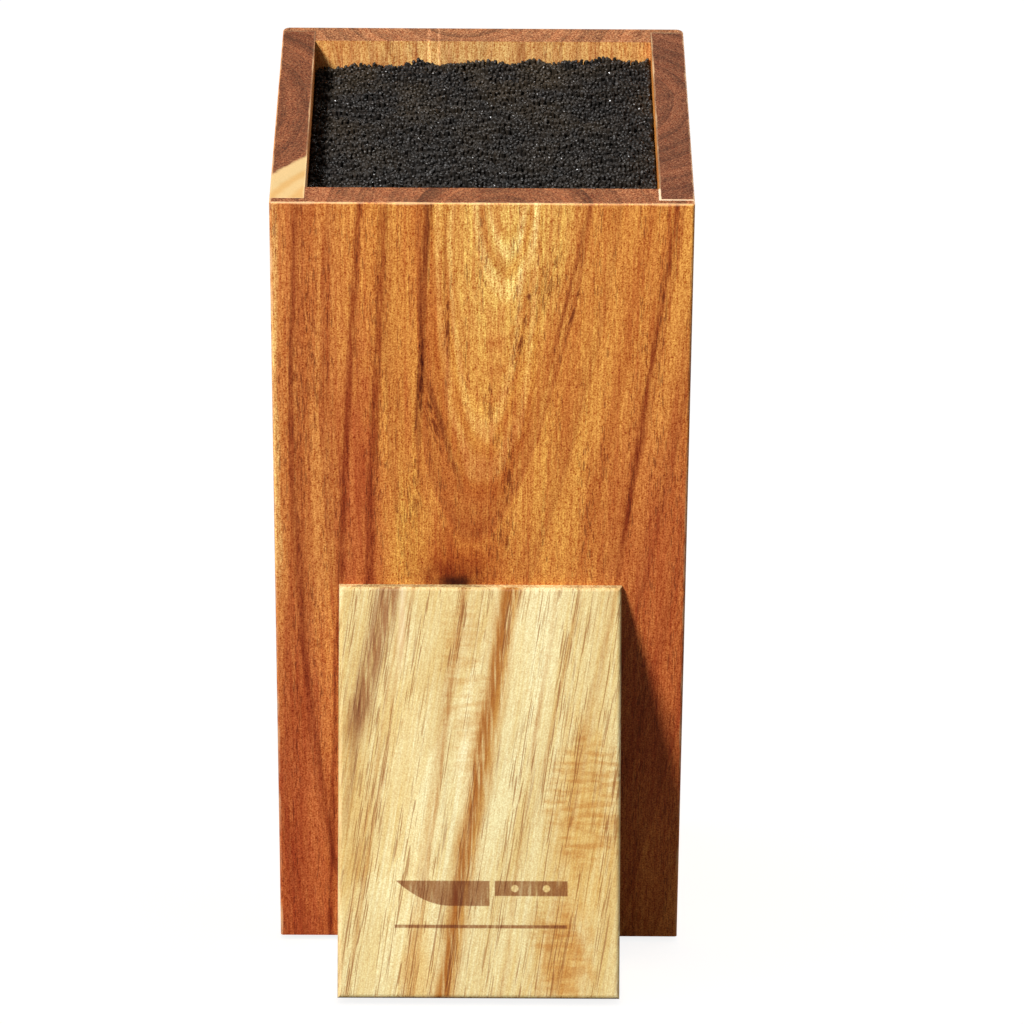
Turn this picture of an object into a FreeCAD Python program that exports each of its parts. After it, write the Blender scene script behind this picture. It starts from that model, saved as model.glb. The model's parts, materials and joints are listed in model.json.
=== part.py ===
"""A leaning universal knife block.

A square wooden box leans forward on a wedge-shaped front foot and holds a lift-out pack of bristles.
Millimetres, +Z up.  The origin is on the table, under the middle of the block's bounding box, and the
block faces -Y.

The box has axes of its own, which lean with it: x across it, y from the front face to the back and z
up the front face.  They start at the front face's bottom edge, and every wooden piece is drawn in them.
"""
import FreeCAD, Part
import os
import Sketcher

doc = FreeCAD.newDocument("knife_block")

# ---------------------------------------------------------------- driving dimensions
DIMENSIONS = [
    ("box_width", 110, "outside, left to right"),
    ("box_depth", 110, "outside, front to back, square to the front face"),
    ("box_height", 226, "up the front face"),
    ("lean", 15, "degrees from upright"),
    ("board", 9, "thickness of the four walls"),
    ("lip", 2.5, "wood left over the side boards' ends at a corner"),
    ("front_round", 0.8, "rounding of the front board's long edges"),
    ("back_round", 2, "rounding of the back board's long edges"),
    ("rim_round", 0.5, "easing of the outer edge of the rim"),
    ("base_low", 3, "from the front face's bottom edge up to the base board"),
    ("base_thick", 6, "base board"),
    ("groove", 4, "depth of the groove that holds the base board"),
    ("foot_width", 75.7, "front foot"),
    ("foot_top", 112.5, "up the front face"),
    ("foot_nose", 2, "thickness of the foot at its top"),
    ("foot_reach", 54, "how far the foot stands out in front, on the table"),
    ("foot_round", 1.2, "rounding of the foot's front edges"),
    ("screw_up", 50, "height of the screws on the front board"),
    ("screw_apart", 44, "between the two screws"),
    ("screw_length", 35, "countersunk screw, over all"),
    ("screw_radius", 2, "screw shank"),
    ("head_radius", 4, "screw head"),
    ("screw_gap", 0.05, "clearance around a screw"),
    ("recess_wide", 1.1, "slot width of the cross recess"),
    ("recess_long", 4.4, "slot length of the cross recess"),
    ("recess_deep", 1.8, "depth of the cross recess"),
    ("pad_radius", 4, "rubber pad"),
    ("pad_thick", 1.5, "rubber pad"),
    ("pad_apart", 80, "between the two pads of the back pair"),
    ("front_pad_apart", 56, "between the two pads under the foot"),
    ("front_pad_reach", 40, "from the front face's bottom edge forward to a pad's centre"),
    ("tray_gap", 0.4, "between the tray and each wall"),
    ("tray_thick", 8, "bristle tray"),
    ("tray_round", 2, "corner of the bristle tray"),
    ("bristle_length", 203.5, "above the tray"),
    ("tuft_radius", 2.4, "one tuft of bristles"),
    ("tuft_rows", 10, "rows, counted left to right"),
    ("tufts_in_row", 18, "front to back"),
]

sizes = doc.addObject("Spreadsheet::Sheet", "Sizes")
for line, (name, number, note) in enumerate(DIMENSIONS, start=1):
    sizes.set(f"A{line}", name)
    sizes.set(f"B{line}", str(number))
    sizes.set(f"C{line}", note)
    sizes.setAlias(f"B{line}", name)
doc.recompute()

# ---------------------------------------------------------------- dimensions worked out from them
# The floor in the box's own axes: it rises towards the front, because the box leans forward.
FLOOR = "(0 - tan(Sizes.lean * 1deg))"
HALF_WIDTH = "(Sizes.box_width / 2)"
HALF_HOLLOW = "(Sizes.box_width / 2 - Sizes.board)"
HALF_BASE = "(Sizes.box_width / 2 - Sizes.board + Sizes.groove)"
BACK_INSIDE = "(Sizes.box_depth - Sizes.board)"
SIDE_BACK = "(Sizes.box_depth - Sizes.lip)"
BASE_FRONT = "(Sizes.board - Sizes.groove)"
BASE_BACK = "(Sizes.box_depth - Sizes.board + Sizes.groove)"
BASE_TOP = "(Sizes.base_low + Sizes.base_thick)"
TRAY_TOP = "(Sizes.base_low + Sizes.base_thick + Sizes.tray_thick)"
HOLE_RADIUS = "(Sizes.screw_radius + Sizes.screw_gap)"
SINK = "(Sizes.head_radius - Sizes.screw_radius)"
# The front edge of the box's underside, from the middle of the block's bounding box.
BOX_Y = "((Sizes.box_height * sin(Sizes.lean * 1deg) - Sizes.box_depth / cos(Sizes.lean * 1deg)) / 2)"
ACROSS = FreeCAD.Vector(1, 0, 0)
SIDES = {"left": "-1", "right": "1"}
TOLERANCE = 1e-4

pieces = []


def value(expression):
    """The number that an expression gives."""
    result = sizes.evalExpression(expression)
    return getattr(result, "Value", result)


def lean_with_box(piece):
    """Stand a piece, drawn in the box's own axes, where the leaning box stands."""
    base = FreeCAD.Vector(0, value(BOX_Y), value("Sizes.pad_thick"))
    piece.Placement = FreeCAD.Placement(base, FreeCAD.Rotation(ACROSS, value("Sizes.lean")))
    piece.setExpression("Placement.Base.y", f"{BOX_Y} * 1mm")
    piece.setExpression("Placement.Base.z", "Sizes.pad_thick * 1mm")
    piece.setExpression("Placement.Rotation.Angle", "Sizes.lean * 1deg")


def new_body(name):
    """A body that leans with the box."""
    body = doc.addObject("PartDesign::Body", name)
    body.Label = name
    lean_with_box(body)
    pieces.append(body)
    return body


def new_sketch(body, name, plane, offset=("0", "0", "0")):
    """An empty sketch on one of the body's own planes, moved by an offset in the sketch's axes."""
    sketch = body.newObject("Sketcher::SketchObject", name)
    origin_plane = next(f for f in body.Origin.OriginFeatures if f.Role == plane)
    sketch.AttachmentSupport = (origin_plane, "")
    sketch.MapMode = "FlatFace"
    for axis, distance in zip("xyz", offset):
        sketch.setExpression(f"AttachmentOffset.Base.{axis}", f"({distance}) * 1mm")
    return sketch


def place_point(sketch, curve, point, place):
    """Hold a curve's point at a place, a pair of expressions, from the sketch's origin."""
    for kind, expression in zip(("DistanceX", "DistanceY"), place):
        held = Sketcher.Constraint(kind, -1, 1, curve, point, value(expression))
        index = sketch.addConstraint(held)
        sketch.setExpression(f"Constraints[{index}]", f"({expression}) * 1mm")


def add_outline(sketch, corners):
    """A closed outline of straight lines. Each corner is a pair of expressions, across and up."""
    points = [FreeCAD.Vector(value(across), value(up), 0) for across, up in corners]
    lines = []
    for start, end in zip(points, points[1:] + points[:1]):
        lines.append(sketch.addGeometry(Part.LineSegment(start, end), False))
    for line, corner in zip(lines, corners):
        before = lines[lines.index(line) - 1]
        sketch.addConstraint(Sketcher.Constraint("Coincident", before, 2, line, 1))
        place_point(sketch, line, 1, corner)


def add_circle(sketch, centre, radius):
    """A circle. Its centre is a pair of expressions, and its radius an expression."""
    middle = FreeCAD.Vector(value(centre[0]), value(centre[1]), 0)
    circle = sketch.addGeometry(Part.Circle(middle, FreeCAD.Vector(0, 0, 1), value(radius)), False)
    place_point(sketch, circle, 3, centre)
    index = sketch.addConstraint(Sketcher.Constraint("Radius", circle, value(radius)))
    sketch.setExpression(f"Constraints[{index}]", f"({radius}) * 1mm")


def rectangle(left, right, low, high):
    """The corners of a rectangle."""
    return [(left, low), (right, low), (right, high), (left, high)]


def add_pad(body, sketch, length, side_type="One side"):
    """Thicken a sketch."""
    pad = body.newObject("PartDesign::Pad", f"{body.Label}_pad")
    pad.Profile = sketch
    pad.SideType = side_type
    pad.setExpression("Length", f"({length}) * 1mm")
    doc.recompute()


def add_pocket(body, sketch, depth=None, towards_normal=False):
    """Cut a sketch out of the body: right through both ways, or to a depth."""
    before = body.Shape.Volume
    pocket = body.newObject("PartDesign::Pocket", f"{sketch.Label}_cut")
    pocket.Profile = sketch
    if depth is None:
        pocket.Type = "ThroughAll"
        pocket.SideType = "Symmetric"
    else:
        pocket.Reversed = towards_normal
        pocket.setExpression("Length", f"({depth}) * 1mm")
    doc.recompute()
    if body.Shape.Volume > before - TOLERANCE:
        raise RuntimeError(f"{sketch.Label} cuts nothing")


def add_dressing(body, kind, name, size_name, size, is_chosen):
    """Round or chamfer the edges whose middle and box is_chosen accepts, in the box's own axes."""
    base = body.Tip
    chosen = []
    for number, edge in enumerate(base.Shape.Edges, start=1):
        if is_chosen(edge.CenterOfMass, edge.BoundBox):
            chosen.append(f"Edge{number}")
    dressing = body.newObject(f"PartDesign::{kind}", f"{body.Label}_{name}")
    dressing.Base = (base, chosen)
    dressing.setExpression(size_name, f"{size} * 1mm")
    doc.recompute()


def add_fillet(body, name, radius, is_chosen):
    """Round the chosen edges."""
    add_dressing(body, "Fillet", name, "Radius", radius, is_chosen)


def add_chamfer(body, name, size, is_chosen):
    """Chamfer the chosen edges."""
    add_dressing(body, "Chamfer", name, "Size", size, is_chosen)


def near(number, expression):
    """Whether a number is what an expression gives."""
    return abs(number - value(expression)) < TOLERANCE


# ---------------------------------------------------------------- the four walls
def wall_across(name, front, back, rabbet, groove, round_face, round_radius):
    """The front or back board: a slab as wide as the box, rabbeted over the side boards' ends."""
    body = new_body(name)
    side_view = new_sketch(body, f"{name}_side_view", "YZ_Plane")
    add_outline(side_view, [
        (front, f"{front} * {FLOOR}"),
        (front, "Sizes.box_height"),
        (back, "Sizes.box_height"),
        (back, f"{back} * {FLOOR}"),
    ])
    add_pad(body, side_view, "Sizes.box_width", "Symmetric")

    for side, sign in SIDES.items():
        step = new_sketch(body, f"{name}_rabbet_{side}", "XY_Plane")
        add_outline(step, rectangle(f"{sign} * {HALF_HOLLOW}", f"{sign} * {HALF_WIDTH}", *rabbet))
        add_pocket(body, step)

    slot = new_sketch(body, f"{name}_groove", "YZ_Plane")
    add_outline(slot, rectangle(*groove, "Sizes.base_low", BASE_TOP))
    add_pocket(body, slot)

    def is_corner(middle, box):
        return near(abs(middle.x), HALF_WIDTH) and near(middle.y, round_face) and box.ZLength > 1

    def is_rim(middle, box):
        return near(middle.z, "Sizes.box_height") and near(middle.y, round_face)

    add_fillet(body, "corners", round_radius, is_corner)
    add_fillet(body, "rim", "Sizes.rim_round", is_rim)
    return body


front_board = wall_across(
    "front_board",
    front="0",
    back="Sizes.board",
    rabbet=("Sizes.lip", "Sizes.board"),
    groove=(BASE_FRONT, "Sizes.board"),
    round_face="0",
    round_radius="Sizes.front_round",
)
wall_across(
    "back_board",
    front=BACK_INSIDE,
    back="Sizes.box_depth",
    rabbet=(BACK_INSIDE, SIDE_BACK),
    groove=(BACK_INSIDE, BASE_BACK),
    round_face="Sizes.box_depth",
    round_radius="Sizes.back_round",
)


def side_board(side, sign):
    """A side board: its ends lie in the rabbets, and its inner face is grooved for the base board."""
    name = f"{side}_board"
    body = new_body(name)
    # A sketch on this plane looks along +x, so the left board starts at its outer face.
    start = HALF_HOLLOW if side == "right" else f"(0 - {HALF_WIDTH})"
    side_view = new_sketch(body, f"{name}_side_view", "YZ_Plane", ("0", "0", start))
    add_outline(side_view, [
        ("Sizes.lip", f"Sizes.lip * {FLOOR}"),
        ("Sizes.lip", "Sizes.box_height"),
        (SIDE_BACK, "Sizes.box_height"),
        (SIDE_BACK, f"{SIDE_BACK} * {FLOOR}"),
    ])
    add_pad(body, side_view, "Sizes.board")

    slot = new_sketch(body, f"{name}_groove", "YZ_Plane", ("0", "0", f"{sign} * {HALF_HOLLOW}"))
    add_outline(slot, rectangle(BASE_FRONT, BASE_BACK, "Sizes.base_low", BASE_TOP))
    add_pocket(body, slot, "Sizes.groove", towards_normal=side == "right")

    def is_rim(middle, box):
        return near(middle.z, "Sizes.box_height") and near(abs(middle.x), HALF_WIDTH)

    add_fillet(body, "rim", "Sizes.rim_round", is_rim)


for side, sign in SIDES.items():
    side_board(side, sign)

# ---------------------------------------------------------------- the base board, held in the grooves
base_board = new_body("base_board")
base_plan = new_sketch(base_board, "base_plan", "XY_Plane", ("0", "0", "Sizes.base_low"))
add_outline(base_plan, rectangle(f"0 - {HALF_BASE}", HALF_BASE, BASE_FRONT, BASE_BACK))
add_pad(base_board, base_plan, "Sizes.base_thick")

# ---------------------------------------------------------------- the front foot, a solid wedge
FOOT_TIP = ("0 - Sizes.foot_reach * cos(Sizes.lean * 1deg)", "Sizes.foot_reach * sin(Sizes.lean * 1deg)")
FOOT_NOSE = ("0 - Sizes.foot_nose", "Sizes.foot_top")
front_foot = new_body("front_foot")
foot_side_view = new_sketch(front_foot, "foot_side_view", "YZ_Plane")
add_outline(foot_side_view, [("0", "0"), ("0", "Sizes.foot_top"), FOOT_NOSE, FOOT_TIP])
add_pad(front_foot, foot_side_view, "Sizes.foot_width", "Symmetric")


def is_foot_front(middle, box):
    """The four edges around the foot's sloping front face."""
    is_level = near(middle.x, "0")
    is_front_level = is_level and (near(middle.z, FOOT_NOSE[1]) or near(middle.z, FOOT_TIP[1]))
    is_upright = not is_level and box.ZLength > value("Sizes.foot_top") / 2
    return middle.y < -TOLERANCE and (is_front_level or is_upright)


add_fillet(front_foot, "front_edges", "Sizes.foot_round", is_foot_front)

# ---------------------------------------------------------------- the screws that hold the foot
SCREWS = {side: f"{sign} * Sizes.screw_apart / 2" for side, sign in SIDES.items()}


def drill_for_screws(body, depth=None):
    """Both screw holes, square to the front face."""
    holes = new_sketch(body, f"{body.Label}_screw_holes", "XZ_Plane")
    for place in SCREWS.values():
        add_circle(holes, (place, "Sizes.screw_up"), HOLE_RADIUS)
    add_pocket(body, holes, depth, towards_normal=True)


drill_for_screws(front_board)
drill_for_screws(front_foot, "Sizes.screw_length - Sizes.board + Sizes.screw_gap")


def is_inner_hole_rim(middle, box):
    """The screw holes' rims on the front board's inner face."""
    return near(middle.y, "Sizes.board") and near(box.XLength, f"2 * {HOLE_RADIUS}")


add_chamfer(front_board, "countersinks", SINK, is_inner_hole_rim)

for side, place in SCREWS.items():
    screw = new_body(f"foot_screw_{side}")
    profile = new_sketch(screw, f"screw_profile_{side}", "XY_Plane", (place, "0", "Sizes.screw_up"))
    add_outline(profile, [
        ("0", "Sizes.board"),
        ("Sizes.head_radius", "Sizes.board"),
        ("Sizes.screw_radius", f"Sizes.board - {SINK}"),
        ("Sizes.screw_radius", "Sizes.board - Sizes.screw_length + 2 * Sizes.screw_radius"),
        ("0", "Sizes.board - Sizes.screw_length"),
    ])
    turned = screw.newObject("PartDesign::Revolution", f"screw_turned_{side}")
    turned.Profile = profile
    turned.ReferenceAxis = (profile, ["V_Axis"])
    turned.Angle = 360
    doc.recompute()

    wide = "Sizes.recess_wide / 2"
    long = "Sizes.recess_long / 2"
    recess = new_sketch(
        screw, f"screw_recess_{side}", "XZ_Plane", (place, "Sizes.screw_up", "0 - Sizes.board"))
    quarter = [(wide, wide), (wide, long), (f"0 - {wide}", long)]
    cross = []
    for _ in range(4):
        cross += quarter
        quarter = [(f"0 - ({up})", across) for across, up in quarter]
    add_outline(recess, cross)
    add_pocket(screw, recess, "Sizes.recess_deep", towards_normal=True)

# ---------------------------------------------------------------- four rubber pads on the table
PAD_PLACES = {
    "front": ("Sizes.front_pad_apart / 2", f"{BOX_Y} - Sizes.front_pad_reach"),
    "back": (
        "Sizes.pad_apart / 2",
        f"{BOX_Y} + (Sizes.box_depth - Sizes.board / 2) / cos(Sizes.lean * 1deg)",
    ),
}
for end, (across, along) in PAD_PLACES.items():
    for side, sign in SIDES.items():
        pad = doc.addObject("Part::Cylinder", f"rubber_pad_{end}_{side}")
        pad.Label = f"rubber_pad_{end}_{side}"
        pad.setExpression("Radius", "Sizes.pad_radius * 1mm")
        pad.setExpression("Height", "Sizes.pad_thick * 1mm")
        pad.setExpression("Placement.Base.x", f"{sign} * {across} * 1mm")
        pad.setExpression("Placement.Base.y", f"({along}) * 1mm")
        pieces.append(pad)

# ---------------------------------------------------------------- the bristle insert, which lifts out
TRAY_SIDE = f"({HALF_HOLLOW} - Sizes.tray_gap)"
tray = new_body("insert_tray")
tray_plan = new_sketch(tray, "tray_plan", "XY_Plane", ("0", "0", BASE_TOP))
add_outline(tray_plan, rectangle(
    f"0 - {TRAY_SIDE}", TRAY_SIDE, "Sizes.board + Sizes.tray_gap", f"{BACK_INSIDE} - Sizes.tray_gap"))
add_pad(tray, tray_plan, "Sizes.tray_thick")


def is_tray_corner(middle, box):
    """The tray's four upright edges."""
    return box.ZLength > value("Sizes.tray_thick") - TOLERANCE


add_fillet(tray, "corners", "Sizes.tray_round", is_tray_corner)

# The bristles stand in rows, with a gap for a blade between one row and the next.
ROW_PITCH = f"2 * {HALF_HOLLOW} / Sizes.tuft_rows"
TUFT_PITCH = f"({BACK_INSIDE} - Sizes.board) / Sizes.tufts_in_row"
for row in range(int(value("Sizes.tuft_rows"))):
    bristles = new_body(f"bristle_row_{row + 1:02d}")
    bristles.AllowCompound = True
    plan = new_sketch(bristles, f"row_plan_{row + 1:02d}", "XY_Plane", ("0", "0", TRAY_TOP))
    for tuft in range(int(value("Sizes.tufts_in_row"))):
        across = f"({row} + 0.5) * {ROW_PITCH} - {HALF_HOLLOW}"
        along = f"Sizes.board + ({tuft} + 0.5) * {TUFT_PITCH}"
        add_circle(plan, (across, along), "Sizes.tuft_radius")
    add_pad(bristles, plan, "Sizes.bristle_length")

# ---------------------------------------------------------------- check everything, then write it
doc.recompute()
for thing in doc.Objects:
    if "Invalid" in thing.State or "Error" in thing.State:
        raise RuntimeError(f"{thing.Label} did not build: {thing.State}")
for piece in pieces:
    if piece.Shape.isNull() or not piece.Shape.isValid():
        raise RuntimeError(f"{piece.Label} is not a valid shape")

os.makedirs("parts", exist_ok=True)
for piece in pieces:
    piece.Shape.exportStep(f"parts/{piece.Label}.step")
    box = piece.Shape.BoundBox
    print(
        f"{piece.Label:24s} {len(piece.Shape.Solids):3d} solid(s) {piece.Shape.Volume:10.0f} mm3"
        f"  x {box.XMin:7.2f} {box.XMax:7.2f}  y {box.YMin:7.2f} {box.YMax:7.2f}"
        f"  z {box.ZMin:7.2f} {box.ZMax:7.2f}"
    )
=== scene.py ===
# %% [markdown]
# # A leaning knife block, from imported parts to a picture
#
# The block is a square box of four acacia boards. It leans forward on a pale wedge of wood, and
# it is filled with thousands of black plastic rods that part around any blade. The parts come
# from a CAD model, which is fixed. This lesson gives each part its finish, grows the real rods
# where the model holds plain tufts, and sets up the table, the light and the camera.

# %% Load the parts
import json
import math

import bpy
import numpy as np
from mathutils import Matrix, Vector


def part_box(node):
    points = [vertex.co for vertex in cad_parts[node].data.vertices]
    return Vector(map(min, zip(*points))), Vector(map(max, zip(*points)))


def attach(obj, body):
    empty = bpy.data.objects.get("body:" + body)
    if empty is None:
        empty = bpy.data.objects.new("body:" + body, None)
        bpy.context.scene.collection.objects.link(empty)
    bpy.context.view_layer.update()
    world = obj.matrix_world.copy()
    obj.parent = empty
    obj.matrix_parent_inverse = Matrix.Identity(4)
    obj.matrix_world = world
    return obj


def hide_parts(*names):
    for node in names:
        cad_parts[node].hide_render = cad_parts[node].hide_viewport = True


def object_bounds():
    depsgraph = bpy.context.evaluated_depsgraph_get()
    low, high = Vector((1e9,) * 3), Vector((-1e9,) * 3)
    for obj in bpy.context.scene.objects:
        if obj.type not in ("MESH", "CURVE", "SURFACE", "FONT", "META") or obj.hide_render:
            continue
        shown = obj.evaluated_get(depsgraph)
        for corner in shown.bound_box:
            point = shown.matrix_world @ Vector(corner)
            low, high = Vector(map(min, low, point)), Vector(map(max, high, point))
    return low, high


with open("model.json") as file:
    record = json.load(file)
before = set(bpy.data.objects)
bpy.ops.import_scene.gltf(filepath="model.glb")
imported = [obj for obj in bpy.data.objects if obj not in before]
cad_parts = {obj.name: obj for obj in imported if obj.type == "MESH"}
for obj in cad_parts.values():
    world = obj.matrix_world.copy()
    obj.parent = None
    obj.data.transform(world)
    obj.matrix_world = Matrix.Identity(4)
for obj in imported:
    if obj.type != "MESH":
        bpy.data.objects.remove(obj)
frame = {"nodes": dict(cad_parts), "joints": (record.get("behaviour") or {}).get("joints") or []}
cad_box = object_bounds()

# %% [markdown]
# ## The box's own axes
#
# Everything wooden is drawn in axes that lean with the box: x across it, y from the front face to
# the back, z up the front face. Wood grain runs up the boards, so a finish is far easier to
# write in these axes than in upright ones. The lean is the direction in which the bristle insert
# lifts out. The foot's back corner is the front face's bottom edge, which is where the axes
# start.

# %% Find the leaning axes
lift = Vector(frame["joints"][0]["axis"])
lean = math.atan2(-lift.y, lift.z)
foot_low, foot_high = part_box("front_foot")
box_start = Vector((0, foot_high.y, foot_low.z))
box_axes = Matrix.Translation(box_start) @ Matrix.Rotation(lean, 4, "X")


def box_in_axes(node_names, axes):
    """The lowest and highest corners of some parts, in axes of our own."""
    to_axes = axes.inverted()
    points = [to_axes @ v.co for name in node_names for v in frame["nodes"][name].data.vertices]
    low = Vector([min(p[i] for p in points) for i in range(3)])
    high = Vector([max(p[i] for p in points) for i in range(3)])
    return low, high


WALLS = ["front_board", "back_board", "left_board", "right_board"]
box_low, box_high = box_in_axes(WALLS, box_axes)
front_high = box_in_axes(["front_board"], box_axes)[1]
left_low, left_high = box_in_axes(["left_board"], box_axes)
board = left_high.x - left_low.x
print(f"lean {math.degrees(lean):.1f} degrees, boards {board * 1000:.1f} mm")
print("box in its own axes, mm:", [round(v * 1000, 1) for v in (*box_low, *box_high)])

# %% [markdown]
# The foot has axes of its own too. They start at the bottom of its sloping front face and z runs
# up that face. The slope comes from two corners: where the front face meets the table, and its
# top.

# %% Find the foot's axes
foot_top = max((v.co for v in frame["nodes"]["front_foot"].data.vertices), key=lambda p: p.z)
nose = min(
    (v.co for v in frame["nodes"]["front_foot"].data.vertices if v.co.z > foot_top.z - 0.004),
    key=lambda p: p.y,
)
foot_slope = math.atan2(nose.y - foot_low.y, nose.z - foot_low.z)
foot_start = Vector((0, foot_low.y, foot_low.z))
foot_axes = Matrix.Translation(foot_start) @ Matrix.Rotation(-foot_slope, 4, "X")
foot_face_high = box_in_axes(["front_foot"], foot_axes)[1]
foot_half = foot_high.x
print(f"the foot's front face leans back {math.degrees(foot_slope):.1f} degrees")

# %% [markdown]
# ## Camera
#
# A long lens from a metre and a half away keeps the box's sides almost parallel. The camera
# looks down by 14 degrees, enough to see into the mouth. It is placed first, so that every
# finish can be judged in the view that matters most.

# %% Place the camera
CAMERA_PLACE = Vector((0.00125, -1.48844, 0.49176))
CAMERA_DOWN = math.radians(14.17)
CAMERA_TURN = math.radians(0.284)
CAMERA_ROLL = math.radians(0.35)
LENS_MM = 194.4
SENSOR_MM = 36

ahead = Vector((
    math.sin(CAMERA_TURN) * math.cos(CAMERA_DOWN),
    math.cos(CAMERA_TURN) * math.cos(CAMERA_DOWN),
    -math.sin(CAMERA_DOWN),
))
right = Vector((math.cos(CAMERA_TURN), -math.sin(CAMERA_TURN), 0))
upward = right.cross(ahead)
rolled_right = right * math.cos(CAMERA_ROLL) + upward * math.sin(CAMERA_ROLL)
rolled_up = rolled_right.cross(ahead)
facing = Matrix((rolled_right, rolled_up, -ahead)).transposed().to_4x4()

lens = bpy.data.cameras.new("camera")
lens.lens = LENS_MM
lens.sensor_width = SENSOR_MM
camera = bpy.data.objects.new("camera", lens)
camera.matrix_world = Matrix.Translation(CAMERA_PLACE) @ facing
bpy.context.scene.collection.objects.link(camera)
bpy.context.scene.camera = camera
bpy.context.scene.view_settings.view_transform = "Standard"
print("camera at", [round(v, 3) for v in CAMERA_PLACE])

# %% [markdown]
# ## Node trees in a few words
#
# A finish is a tree of nodes: small steps, each fed by the one before. A few helpers keep the
# trees readable. `put` adds any node, `calc` a sum, `noise` a cloudy pattern and `levels` a
# smooth step from one number to another. Each takes plain numbers or the outputs of other nodes,
# and finds the tree that it works in from those outputs.

# %% Helpers for node trees
def put(tree, kind, inputs=None, **settings):
    """Add a node. Each input is a number, a colour, a vector or another node's output."""
    made = tree.nodes.new("ShaderNode" + kind)
    for name, setting in settings.items():
        setattr(made, name, setting)
    for key, given in (inputs or {}).items():
        if isinstance(given, bpy.types.NodeSocket):
            tree.links.new(given, made.inputs[key])
        else:
            made.inputs[key].default_value = given
    return made


def tree_of(*values):
    """The tree of the first node output among some values."""
    return next(v.id_data for v in values if isinstance(v, bpy.types.NodeSocket))


def calc(operation, *values, clamp=False):
    """Arithmetic on numbers."""
    tree = tree_of(*values)
    made = put(tree, "Math", dict(enumerate(values)), operation=operation, use_clamp=clamp)
    return made.outputs[0]


def times(*values, **options):
    """Multiply two numbers."""
    return calc("MULTIPLY", *values, **options)


def minus(first, second):
    """Take the second number from the first."""
    return calc("SUBTRACT", first, second)


def vector_calc(operation, *values, output="Vector"):
    """Arithmetic on vectors."""
    made = put(tree_of(*values), "VectorMath", dict(enumerate(values)), operation=operation)
    return made.outputs[output]


def split(vector):
    """A vector's x, y and z."""
    return put(tree_of(vector), "SeparateXYZ", {0: vector}).outputs


def levels(value, low, high, start=0.0, end=1.0):
    """A smooth step: start below low, end above high."""
    made = put(
        tree_of(value), "MapRange", {0: value, 1: low, 2: high, 3: start, 4: end},
        interpolation_type="SMOOTHSTEP")
    return made.outputs[0]


def sway(base, value, amount, middle=0.5):
    """Move a number up and down with a value that varies around its middle."""
    return calc("MULTIPLY_ADD", minus(value, middle), amount, base)


ASKEW = (0.6, 0.9, 0.4)


def noise(place, size, detail=2.0, output="Fac"):
    """Cloudy noise. size is how long its blobs are along each axis, in the units of place.

    Noise is built on a square lattice, which shows as a weave when it lies along the grain. So the
    lattice is turned askew once the blobs have their size.
    """
    tree = tree_of(place)
    stretched = vector_calc("DIVIDE", place, size)
    turned = put(
        tree, "VectorRotate", {"Vector": stretched, "Rotation": ASKEW},
        rotation_type="EULER_XYZ")
    made = put(tree, "TexNoise", {"Vector": turned.outputs[0], "Scale": 1.0, "Detail": detail})
    return made.outputs[output]


def mix_colour(amount, first, second, how="MIX"):
    """Blend two colours."""
    tree = tree_of(amount, first, second)
    made = put(tree, "Mix", {0: amount, 6: first, 7: second}, data_type="RGBA", blend_type=how)
    return made.outputs[2]


# %% [markdown]
# A node group is a finish's building block: a named tree with named inputs and outputs, which any
# material can hold with values of its own. `new_group` makes an empty one and hands back its two
# ends. `use_group` places one in a material.

# %% Helpers for node groups and materials
SOCKETS = {1: "NodeSocketFloat", 3: "NodeSocketVector", 4: "NodeSocketColor"}
ORIGIN = (0, 0, 0)
UP = (0, 0, 1)
MASK = {"mask": 0.0}


def socket_kind(sample):
    """The socket for a value like this one: a number, a vector or a colour."""
    return SOCKETS[1 if isinstance(sample, float) else len(sample)]


def in_words(name):
    """The socket called Ring Width is written ring_width in Python."""
    return name.replace("_", " ").title()


def new_group(name, outputs, **inputs):
    """A node group. Each input has its default, and each output a value of its kind."""
    group = bpy.data.node_groups.new(name, "ShaderNodeTree")
    for key, default in inputs.items():
        socket = group.interface.new_socket(
            in_words(key), in_out="INPUT", socket_type=socket_kind(default))
        socket.default_value = default
    for key, sample in outputs.items():
        group.interface.new_socket(in_words(key), in_out="OUTPUT", socket_type=socket_kind(sample))
    start = group.nodes.new("NodeGroupInput")
    end = group.nodes.new("NodeGroupOutput")
    print("group:", name, "takes", list(inputs), "gives", list(outputs))
    return group, start.outputs, end.inputs


def use_group(group, **values):
    """Place a group. A value named ring_width goes to the input called Ring Width."""
    tree = tree_of(*values.values())
    made = tree.nodes.new("ShaderNodeGroup")
    made.node_tree = group
    for name, given in values.items():
        socket = made.inputs[in_words(name)]
        if isinstance(given, bpy.types.NodeSocket):
            tree.links.new(given, socket)
        else:
            socket.default_value = given
    return made.outputs


def new_material(name):
    """A material with a Principled shader. Hands back the material, its tree and the shader."""
    material = bpy.data.materials.new(name)
    material.use_nodes = True
    tree = material.node_tree
    return material, tree, tree.nodes["Principled BSDF"]


def connect(shader, **values):
    """Feed the shader's own sockets, such as base_color=..., from outputs."""
    for name, given in values.items():
        tree_of(given).links.new(given, shader.inputs[in_words(name)])


def bump(shader, height, strength, distance):
    """Turn a height into relief. distance is how deep a height of one is, in metres."""
    relief = put(
        tree_of(height), "Bump",
        {"Height": height, "Strength": strength, "Distance": distance})
    connect(shader, normal=relief.outputs["Normal"])


def place_in(tree, axes):
    """Where a point is in some axes, in millimetres."""
    inverse = axes.inverted()
    point = put(tree, "TexCoord").outputs["Object"]
    mapped = put(tree, "Mapping", {
        "Vector": point, "Location": inverse.to_translation() * 1000,
        "Rotation": inverse.to_euler(), "Scale": (1000, 1000, 1000),
    })
    return mapped.outputs["Vector"]


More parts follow.
